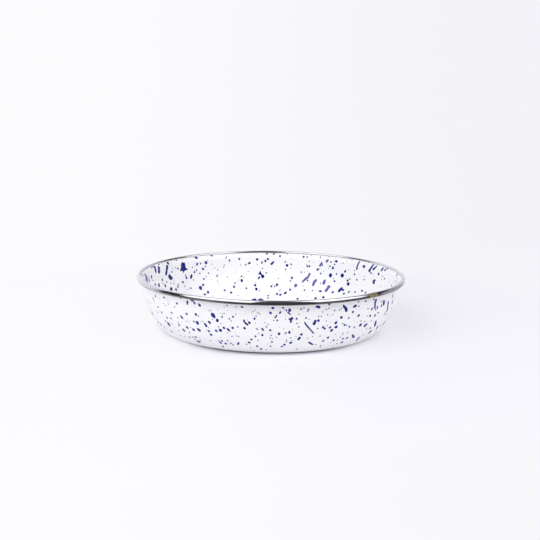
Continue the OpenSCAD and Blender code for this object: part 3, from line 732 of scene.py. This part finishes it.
def drawn(size, depth, side, more):
    """Size in pixels to draw a mark at: a pale speck is smaller than it was read, a deep one a little larger,
    and most of all on the brighter inner face, whose white eats into its edge."""
    eaten = 0.25 * min(1.0, depth / 6) if side == INSIDE else 0.0
    return 0.9 * size + 0.5 * min(1.0, depth / 8) + eaten + more


def tone_of(depth, side):
    """Tone of a mark: the outer face's deepest blue is a little lighter than the inner one's."""
    return min(depth, 8.5 if side == OUTSIDE else 10) / 10


def between_turns(angle, other):
    """Turn from the other angle to this one, the shorter way round."""
    return (angle - other + math.pi) % TAU - math.pi


def offsets(hits):
    """Side and centre of some places, and their distances from it in mm."""
    side, _, first = hits[0]
    turns = [between_turns(h[2], first) for h in hits]
    s, angle = sum(h[1] for h in hits) / len(hits), sum(turns) / len(turns)
    r = on_face(side, s)[0]
    return side, s, first + angle, [((a - angle) * r, h[1] - s) for a, h in zip(turns, hits)]


def read_places(pixels):
    """Places on the bowl under a row of pixels, all on the side that most of them show."""
    hits = [pixel_on_bowl(x, y) for x, y in pixels]
    sides = [h[0] for h in hits if h]
    side = max(sides, key=sides.count) if sides else None
    return [h for h in hits if h and h[0] == side]


def finer(pixels):
    """The same path with each leg cut into parts, so that a stroke keeps what shows beside the band."""
    out = [pixels[0]]
    for (ax, ay), (bx, by) in zip(pixels, pixels[1:]):
        out += [(ax + (bx - ax) * k / LEG_PARTS, ay + (by - ay) * k / LEG_PARTS)
                for k in range(1, LEG_PARTS + 1)]
    return out


for x, y, w, h, depth in ROUND:
    # a spot read at the band's edge sits just below it
    hit = pixel_on_bowl(x, y) or pixel_on_bowl(x, y + 0.8) or pixel_on_bowl(x, y + 1.6)
    if hit is None:
        continue
    around, along = pixels_per_mm(*hit)
    tall, wide = (drawn(size, depth, hit[0], 0.1) / scale.length for size, scale in ((h, along), (w, around)))
    wide = min(wide, MOST_STRETCH * max(tall, LEAST_WIDTH))
    tall = min(tall, MOST_STRETCH * max(wide, LEAST_WIDTH))
    spatter[hit[0]].add(*hit, blob(wide, tall, 0.08), tone_of(depth, hit[0]))
    marked.append((*hit, max(wide, tall)))

for width, depth, *path in STROKES:
    hits = read_places(finer(list(zip(path[::2], path[1::2]))))
    if len(hits) < 2:
        continue
    side, s, angle, points = offsets(hits)
    around, along = pixels_per_mm(side, s, angle)
    du, dv = points[-1][0] - points[0][0], points[-1][1] - points[0][1]
    length = math.hypot(du, dv)
    across = abs(around.x * along.y - around.y * along.x) / ((around * du + along * dv) / length).length
    width = min(drawn(width, depth, side, -0.3) / across, MOST_STRETCH * width / 1.2)
    stroke = run(points, width, chance.uniform(-0.15, 0.15))
    spatter[side].add(side, s, angle, stroke, tone_of(depth, side), ladder=True)
    marked.append((side, s, angle, length))

for outline in BLOTS:
    soft = []
    for (ax, ay), (bx, by) in zip(outline, outline[1:] + outline[:1]):
        soft += [(0.8 * ax + 0.2 * bx, 0.8 * ay + 0.2 * by), (0.2 * ax + 0.8 * bx, 0.2 * ay + 0.8 * by)]
    side, s, angle, points = offsets(read_places(soft))
    points = [(BLOT_GROWS * u, BLOT_GROWS * v) for u, v in points]
    turning = sum(a[0] * b[1] - a[1] * b[0] for a, b in zip(points, points[1:] + points[:1]))
    spatter[side].add(side, s, angle, scaled(points if turning > 0 else points[::-1]), 1.0)
    marked.append((side, s, angle, max(math.hypot(*p) for p in points) * 2))


def clear_of_foot(side, s, size):
    """False where a drop's dome would reach down to the floor."""
    return min(on_face(side, s + k * size)[1] for k in (-1, 0, 1)) > FOOT_CLEAR


def free(side, s, angle, size):
    """True where a drop of this size keeps clear of all that are laid."""
    r = on_face(side, s)[0]
    near = [m for m in marked if m[0] == side and abs(s - m[1]) <= NEIGHBOURS]
    return all(math.hypot(between_turns(angle, a) * r, s - s1) >= (size + size1) / 2 + GAP
               for _, s1, a, size1 in near)


def scatter(side, count, small, large, power, hidden_only, low_tone, high_tone):
    """Throws drops over one side, evenly by area, with sizes crowded towards the small."""
    end, widest = FACES[side][-1][0] - LIP_CLEAR, BAND_DIAMETER / 2
    done = tries = 0
    while done < count and tries < 30 * count:
        tries += 1
        s, angle = chance.uniform(0, end), chance.uniform(0, TAU)
        size = small + (large - small) * chance.random() ** power
        if chance.random() * widest > on_face(side, s)[0] or not clear_of_foot(side, s, size):
            continue
        if hidden_only and seen(side, s, angle) or not free(side, s, angle, size):
            continue
        done += 1
        marked.append((side, s, angle, size))
        tone = chance.uniform(low_tone, high_tone)
        ran = size > RUN_FROM and chance.random() < RUN_SHARE
        if ran:
            way = chance.uniform(-0.9, 0.9) + (math.pi / 2 if side == OUTSIDE else 0.8)
            run_length = size * chance.uniform(1.4, 2.8)
            u, v = run_length * math.cos(way) / 2, run_length * math.sin(way) / 2
            outline = run([(-u, -v), (u, v)], size * 0.6)
        else:
            wide = size * chance.uniform(0.8, 1.1)
            outline = blob(wide, size * chance.uniform(0.85, 1.3))
        spatter[side].add(side, s, angle, outline, tone, ladder=ran)


# smallest, largest, crowding, on hidden places only, lowest and highest tone
LARGE_DROPS = (1.0, 4.0, 2.2, True, 0.5, 1.0)
SPECKS = (0.3, 1.1, 1.6, False, 0.0, 0.45)
scatter(OUTSIDE, 430, *LARGE_DROPS)
scatter(INSIDE, 480, *LARGE_DROPS)
scatter(OUTSIDE, 700, *SPECKS)
scatter(INSIDE, 700, *SPECKS)
spatter_inside = spatter[INSIDE].build("spatter_inside_drops")
spatter_outside = spatter[OUTSIDE].build("spatter_outside_drops")


# Materials
class Nodes:
    """A node tree with short calls. A colour is a tuple of three, and a shader comes as its output socket."""

    def __init__(self, name, tree=None):
        if tree is None:
            self.material = bpy.data.materials.new(name)
            self.material.use_nodes = True
            tree = self.material.node_tree
        self.tree = tree
        self.tree.nodes.clear()

    def feed(self, socket, value):
        """Gives an input a number, a colour or what another socket puts out."""
        if isinstance(value, tuple):
            socket.default_value = (*value, 1.0)
        elif isinstance(value, (int, float)):
            socket.default_value = value
        else:
            self.tree.links.new(value, socket)

    def add(self, kind, **values):
        """A new node with its settings and inputs, which are named with _ for a space."""
        node = self.tree.nodes.new(kind)
        for key, value in values.items():
            if hasattr(node, key):
                setattr(node, key, value)
            else:
                self.feed(node.inputs[key.replace("_", " ")], value)
        return node

    def math(self, operation, *values):
        node = self.add("ShaderNodeMath", operation=operation)
        for socket, value in zip(node.inputs, values):
            self.feed(socket, value)
        return node.outputs[0]

    def chain(self, operation, first, *others):
        for other in others:
            first = self.math(operation, first, other)
        return first

    def times(self, *values):
        return self.chain("MULTIPLY", *values)

    def plus(self, *values):
        return self.chain("ADD", *values)

    def most(self, *values):
        return self.chain("MAXIMUM", *values)

    def rise(self, value, low, high, to_low=0.0, to_high=1.0):
        """Smooth step between two values."""
        node = self.add("ShaderNodeMapRange", interpolation_type="SMOOTHSTEP", Value=value, From_Min=low,
                        From_Max=high, To_Min=to_low, To_Max=to_high)
        return node.outputs["Result"]

    def fall(self, value, low, high):
        return self.rise(value, low, high, 1.0, 0.0)

    def mix(self, factor, a, b):
        node = self.add("ShaderNodeMix", data_type="RGBA")
        for socket, value in ((node.inputs[0], factor), (node.inputs[6], a), (node.inputs[7], b)):
            self.feed(socket, value)
        return node.outputs[2]

    def blend(self, factor, a, b):
        node = self.add("ShaderNodeMixShader", Fac=factor)
        self.feed(node.inputs[1], a)
        self.feed(node.inputs[2], b)
        return node.outputs["Shader"]

    def noise(self, vector, scale, detail):
        return self.add("ShaderNodeTexNoise", Vector=vector, Scale=scale, Detail=detail).outputs["Fac"]

    def ramp(self, value, stops):
        node = self.add("ShaderNodeValToRGB", Fac=value)
        marks = node.color_ramp.elements
        for mark, (position, colour) in zip(marks, (stops[0], stops[-1])):
            mark.position, mark.color = position, (*colour, 1)
        for position, colour in stops[1:-1]:
            marks.new(position).color = (*colour, 1)
        return node.outputs["Color"]

    def bump(self, height, strength, distance):
        node = self.add("ShaderNodeBump", Height=height, Strength=strength, Distance=distance)
        return node.outputs["Normal"]

    def surface(self, colour, roughness, normal, **constants):
        shader = self.add("ShaderNodeBsdfPrincipled", Base_Color=colour, Roughness=roughness, Normal=normal,
                          **constants)
        self.add("ShaderNodeOutputMaterial", Surface=shader.outputs["BSDF"])
        return self.material

    def place(self):
        return self.add("ShaderNodeTexCoord").outputs["Object"]

    def axes(self, vector):
        """The x, y and z of a vector."""
        return tuple(self.add("ShaderNodeSeparateXYZ", Vector=vector).outputs)


GLASS = {"IOR": 1.52, "Specular_IOR_Level": 0.3}


def white_enamel():
    n = Nodes("white_enamel")
    at = n.place()
    fine = n.noise(at, 420.0, 2.0)
    colour = n.mix(n.rise(n.noise(at, 28.0, 3.0), 0.3, 0.7), (0.83, 0.834, 0.848), (0.855, 0.857, 0.868))
    specks = n.rise(n.noise(at, 900.0, 1.0), 0.74, 0.8)
    colour = n.mix(n.times(specks, 0.35), colour, (0.45, 0.46, 0.52))
    waves = n.plus(n.times(n.noise(at, 45.0, 2.0), 0.7), n.times(fine, 0.1))
    return n.surface(colour, n.rise(fine, 0.3, 0.7, 0.14, 0.2), n.bump(waves, 0.25, 0.0006), **GLASS)


def blue_enamel():
    """Blue that is paler on a faint drop and at a drop's edge, from the mesh's own edge and tone."""
    n = Nodes("blue_enamel")
    at = n.place()
    marks = n.add("ShaderNodeVertexColor", layer_name="drop").outputs["Color"]
    edge, tone, _ = n.add("ShaderNodeSeparateColor", Color=marks).outputs
    body = n.ramp(tone, ((0.0, (0.12, 0.12, 0.20)), (0.4, (0.045, 0.042, 0.20)),
                         (0.45, (0.088, 0.078, 0.34)), (0.52, (0.03, 0.027, 0.24)),
                         (0.75, (0.012, 0.011, 0.21)), (1.0, (0.001, 0.002, 0.15))))
    mottled = n.times(n.rise(edge, 0.0, 0.5), n.rise(n.noise(at, 700.0, 2.0), 0.2, 0.6, 0.8, 1.0))
    colour = n.mix(mottled, n.mix(0.2, body, (0.35, 0.36, 0.62)), body)
    return n.surface(colour, 0.14, n.bump(n.noise(at, 500.0, 1.0), 0.15, 0.0002), **GLASS)


def around_the_axis(n, at, across, along):
    """Coordinates that stretch a pattern round the band, so that it runs along the strip."""
    x, y, z = n.axes(at)
    radius = n.math("SQRT", n.plus(n.times(x, x), n.times(y, y)))
    out = n.add("ShaderNodeCombineXYZ", X=n.times(radius, across), Y=n.times(z, across),
                Z=n.times(n.math("ARCTAN2", y, x), along))
    return out.outputs["Vector"]


def band_steel():
    n = Nodes("band_steel")
    at = n.place()
    lines = n.noise(around_the_axis(n, at, 6000.0, 6.0), 1.0, 3.0)
    waves = n.noise(around_the_axis(n, at, 300.0, 9.0), 1.0, 1.0)
    colour = n.mix(n.rise(n.noise(at, 60.0, 2.0), 0.3, 0.7), (0.61, 0.605, 0.63), (0.665, 0.66, 0.685))
    # painted shade: the steel's colour is darkened towards the strip's lower edge, standing in for the dark
    # reflection and shade there
    edge = n.rise(n.axes(at)[2], (BAND_Z + 0.4) * MM, (BAND_Z + 1.1) * MM)
    colour = n.mix(edge, (0.09, 0.09, 0.1), colour)
    height = n.plus(n.times(lines, 0.03), waves)
    return n.surface(colour, n.rise(lines, 0.3, 0.75, 0.07, 0.14), n.bump(height, 0.02, 0.0002), Metallic=1.0)


def joint_metal():
    """Dull metal with a ragged patch of ochre filler on the lower half of the band."""
    n = Nodes("joint_metal")
    at = n.place()
    x, y, z = n.axes(at)
    patch = n.noise(at, 700.0, 3.0)
    ochre = n.mix(n.rise(patch, 0.35, 0.65), (0.40, 0.325, 0.095), (0.25, 0.20, 0.06))
    wander = n.times(n.math("SUBTRACT", n.noise(at, 420.0, 2.0), 0.5), 0.004)
    height = n.plus(z, wander)
    # distance along the band from the middle of the joint
    along = n.plus(n.times(x, -math.sin(JOINT_DIRECTION)), n.times(y, math.cos(JOINT_DIRECTION)))
    shown = n.times(n.rise(height, (BAND_Z + 0.1) * MM, (BAND_Z + 0.5) * MM),
                    n.fall(height, (BAND_Z + 1.9) * MM, (BAND_Z + 2.5) * MM),
                    n.rise(n.plus(along, wander), -0.0044, -0.0036))
    colour = n.mix(shown, (0.17, 0.165, 0.16), ochre)
    return n.surface(colour, n.rise(patch, 0.3, 0.7, 0.28, 0.42), n.bump(patch, 0.25, 0.0002), Metallic=0.5)


def hidden_coat(name, low, high, metallic, roughness):
    n = Nodes(name)
    cloud = n.noise(n.place(), 120.0, 3.0)
    return n.surface(n.mix(cloud, low, high), n.rise(cloud, 0.3, 0.7, roughness, roughness + 0.1),
                     n.bump(cloud, 0.1, 0.0002), Metallic=metallic)


def dress(ob, material):
    ob.data.materials.clear()
    ob.data.materials.append(material)


white, blue = white_enamel(), blue_enamel()
for piece, node, slot, material in ((inside, "cover_coat_inside", "white_enamel", white),
                                    (outside, "cover_coat_outside", "white_enamel", white),
                                    (spatter_inside, "spatter_inside", "blue_enamel", blue),
                                    (spatter_outside, "spatter_outside", "blue_enamel", blue),
                                    (band, "rim_band", "band_steel", band_steel()),
                                    (joint, "rim_band_joint", "joint_metal", joint_metal())):
    dress(piece, material)
    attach(piece, "root")
    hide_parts(node)
core = hidden_coat("core_steel", (0.36, 0.37, 0.39), (0.5, 0.51, 0.53), 1.0, 0.35)
dress(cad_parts["steel_core"], core)
ground = hidden_coat("ground_enamel", (0.02, 0.022, 0.045), (0.05, 0.055, 0.1), 0.0, 0.2)
for node in ("ground_coat_inside", "ground_coat_outside"):
    dress(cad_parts[node], ground)

# Stage, in metres from the bowl's middle where a length isn't multiplied by MM
# the right-hand colours of the backdrop and the floor are darker and bluer: painted shade
BACKGROUND, BACKGROUND_RIGHT = (0.965, 0.965, 0.982), (0.905, 0.897, 0.94)
FLOOR_LEFT, FLOOR_RIGHT = (0.98, 0.98, 1.0), (0.94, 0.937, 0.967)
LEFT_EDGE, RIGHT_EDGE = -0.16, 0.2
FLOOR_FRONT, FLOOR_SIDE, FLOOR_BACK, FLOOR_REACH = -400, 430, 3000, 4000
VIEWER = 1.1            # the floor's colours spread over bearings from a point this far in front


def floor_material():
    """A pale floor that the camera sees as nearly white, with the bowl's rendered shadow kept round it, a
    painted contact shadow under the foot, painted shade to the right and a glow that pales the shadow.
    """
    n = Nodes("floor")
    at = n.place()
    x, y, _ = n.axes(at)
    distance = n.add("ShaderNodeVectorMath", operation="LENGTH", Vector=at).outputs["Value"]
    path = n.add("ShaderNodeLightPath").outputs
    # painted shadow: the floor's colour darkens in a ring round the foot, most to the front
    facing = n.fall(n.math("DIVIDE", y, distance), -1.0, -0.62)
    painted_contact_shadow = n.times(facing, n.fall(distance, 0.083, 0.097))
    shadow = n.add("ShaderNodeBsdfDiffuse", Color=n.mix(painted_contact_shadow, (0.815, 0.81, 0.86), (0.24, 0.24, 0.28)))
    # away from the foot the camera sees the floor glowing in a plain colour that shades off to the back, into
    # the backdrop's colour, and to the right as painted shade
    side = n.rise(n.math("DIVIDE", x, n.most(n.plus(y, VIEWER), 0.5)), LEFT_EDGE, RIGHT_EDGE)
    plain = n.mix(n.rise(y, -0.2, 0.5), n.mix(side, FLOOR_LEFT, FLOOR_RIGHT),
                  n.mix(side, BACKGROUND, BACKGROUND_RIGHT))
    glow = n.add("ShaderNodeEmission", Color=plain, Strength=1.0)
    # round the foot the glow is mixed in over the lit floor with a larger share on the left: painted light
    # that pales the bowl's shadow, most on the left
    sideways = n.times(n.math("SUBTRACT", 1.0, facing), 0.014)
    near = n.times(n.rise(n.plus(distance, sideways), 0.088, 0.114), n.rise(x, -0.08, 0.08, 0.9, 0.52))
    lit = n.blend(n.most(near, n.rise(distance, 0.16, 0.34)), shadow.outputs["BSDF"],
                  glow.outputs["Emission"])
    # what the bowl gets from the floor: for glossy rays the floor's colour is darkened to the right, a
    # painted shade that the band's right end shows, and outside the table's edges there is none
    shade = n.times(n.rise(x, 0.12, 0.26), path["Is Glossy Ray"])
    table = n.add("ShaderNodeBsdfDiffuse", Color=n.mix(shade, (0.95, 0.95, 0.98), (0.5, 0.5, 0.54)))
    past_front = n.fall(y, (FLOOR_FRONT - 1) * MM, FLOOR_FRONT * MM)
    past_back = n.rise(y, FLOOR_BACK * MM, (FLOOR_BACK + 1) * MM)
    past_side = n.rise(n.math("ABSOLUTE", x), FLOOR_SIDE * MM, (FLOOR_SIDE + 1) * MM)
    given = n.blend(n.most(past_front, past_back, past_side), table.outputs["BSDF"],
                    n.add("ShaderNodeBsdfTransparent").outputs["BSDF"])
    n.add("ShaderNodeOutputMaterial", Surface=n.blend(path["Is Camera Ray"], given, lit))
    return n.material


corners = [(FLOOR_REACH * x, FLOOR_REACH * y, 0) for x, y in ((-1, -1), (1, -1), (1, 1), (-1, 1))]
floor = new_object("floor", corners, [(0, 1, 2, 3)])
dress(floor, floor_material())

# Brightness of what the band and the enamel show
DARK, DIM, ROOM, SCREEN, DULL, BACK_RIGHT, CEILING = 0.03, 0.09, 0.42, 1.05, 0.38, 0.85, 0.7
FACE_LOW, FACE_HIGH = 0.62, 2.2


def light_room(world):
    """Two bright lamp faces in front with a dark viewer's side between them, dark gaps at the sides and
    below the table's height, and pale screens behind. The camera sees a plain backdrop instead."""
    n = Nodes("studio", world.node_tree)
    path = n.add("ShaderNodeLightPath").outputs
    east, north, height = n.axes(n.add("ShaderNodeTexCoord").outputs["Generated"])
    # bearing counts in degrees from the viewer's side, positive to the right
    bearing = n.times(n.math("ARCTAN2", east, n.times(north, -1.0)), math.degrees(1))
    around = n.math("ABSOLUTE", bearing)

    def between(value, low, high, soft):
        return n.times(n.rise(value, low - soft, low + soft), n.fall(value, high - soft, high + soft))

    def leaning(degrees):
        """The bearing with an edge that leans over by so many degrees from the horizon to the zenith."""
        return n.plus(bearing, n.times(height, degrees))

    def level(value):
        return (value, 0.985 * value, 1.05 * value)

    behind_left = n.times(n.fall(bearing, -122, -102), n.rise(height, 0.6, 0.75, 1.0, 0.75))
    right_screen = n.mix(n.rise(bearing, 122, 160), level(DULL), level(BACK_RIGHT))
    overhead = n.times(n.fall(bearing, -24, -18), n.rise(height, 0.88, 0.92))
    viewer = n.times(between(bearing, -16, 38, 2), n.fall(height, 0.985, 0.995))
    belt = n.times(n.fall(around, 103, 108), n.fall(height, 0.07, 0.14))
    low_enough = n.fall(height, 0.63, 0.71)
    left_gap = n.times(between(leaning(25), -101, -74, 3), low_enough)
    right_gap = n.most(n.fall(leaning(-100), 84, 94), n.fall(bearing, 102, 107))
    right_gap = n.times(n.rise(leaning(-44), 73, 77), right_gap, low_enough)
    turned = n.math("ABSOLUTE", n.math("SUBTRACT", around, n.rise(bearing, -1, 1, 188, 165)))
    back_gap = n.times(n.fall(turned, 14, 18), n.rise(height, 0.6, 0.72))
    room = n.mix(behind_left, level(ROOM), level(SCREEN))
    room = n.mix(n.rise(bearing, 112, 115), room, right_screen)
    room = n.mix(overhead, room, level(CEILING))
    room = n.mix(viewer, room, level(DIM))
    room = n.mix(n.most(belt, left_gap, right_gap, back_gap), room, level(DARK))
    # the lamps' faces, as metal and gloss show them: they fade towards their lower edges
    left_face = n.times(n.rise(leaning(30), -72, -66), n.fall(bearing, -16, -14))
    right_face = n.times(n.rise(bearing, 38, 40), n.fall(leaning(-30), 74, 85))
    tall = n.times(n.rise(height, 0.05, 0.09), n.fall(height, 0.94, 0.97))
    faces = n.times(n.most(left_face, right_face), tall, path["Is Glossy Ray"])
    room = n.mix(faces, room, n.rise(height, 0.0, 0.75, FACE_LOW, FACE_HIGH))
    # the backdrop the camera sees is darker and bluer to the right: painted shade
    side = n.rise(east, LEFT_EDGE, RIGHT_EDGE)
    behind = n.times(n.rise(height, -0.35, -0.15), n.rise(north, -0.1, 0.4))
    backdrop = n.mix(behind, n.mix(side, FLOOR_LEFT, FLOOR_RIGHT), n.mix(side, BACKGROUND, BACKGROUND_RIGHT))
    shown = n.mix(path["Is Camera Ray"], room, backdrop)
    background = n.add("ShaderNodeBackground", Color=shown, Strength=1.0)
    n.add("ShaderNodeOutputWorld", Surface=background.outputs["Background"])


studio = bpy.data.worlds.new("studio")
studio.use_nodes = True
bpy.context.scene.world = studio
light_room(studio)
LAMP_DISTANCE, LAMP_LOW = 2.0, 11


def screen_lamp(name, bearing_from, bearing_to, high, radiance, colour):
    """An upright rectangular lamp facing the bowl, between two bearings and up to a height in degrees."""
    middle, half = math.radians(bearing_from + bearing_to) / 2, math.radians(bearing_to - bearing_from) / 2
    bottom, top = (LAMP_DISTANCE * math.tan(math.radians(a)) for a in (LAMP_LOW, high))
    data = bpy.data.lights.new(name, "AREA")
    data.shape, data.size, data.size_y = "RECTANGLE", 2 * LAMP_DISTANCE * math.tan(half), top - bottom
    data.energy = 4 * radiance * data.size * data.size_y
    data.color = colour
    ob = bpy.data.objects.new(name, data)
    way = Vector((math.sin(middle), -math.cos(middle), 0))
    ob.location = way * LAMP_DISTANCE + Vector((0, 0, (bottom + top) / 2 + BOWL_HEIGHT * MM))
    ob.rotation_euler = (-way).to_track_quat("-Z", "Y").to_euler()
    ob.visible_camera = ob.visible_glossy = False
    bpy.context.scene.collection.objects.link(ob)


screen_lamp("left_screen", -77, -15, 61, 2.23, (1.0, 0.995, 0.99))
screen_lamp("right_screen", 39, 85, 71, 2.37, (0.995, 0.99, 1.0))
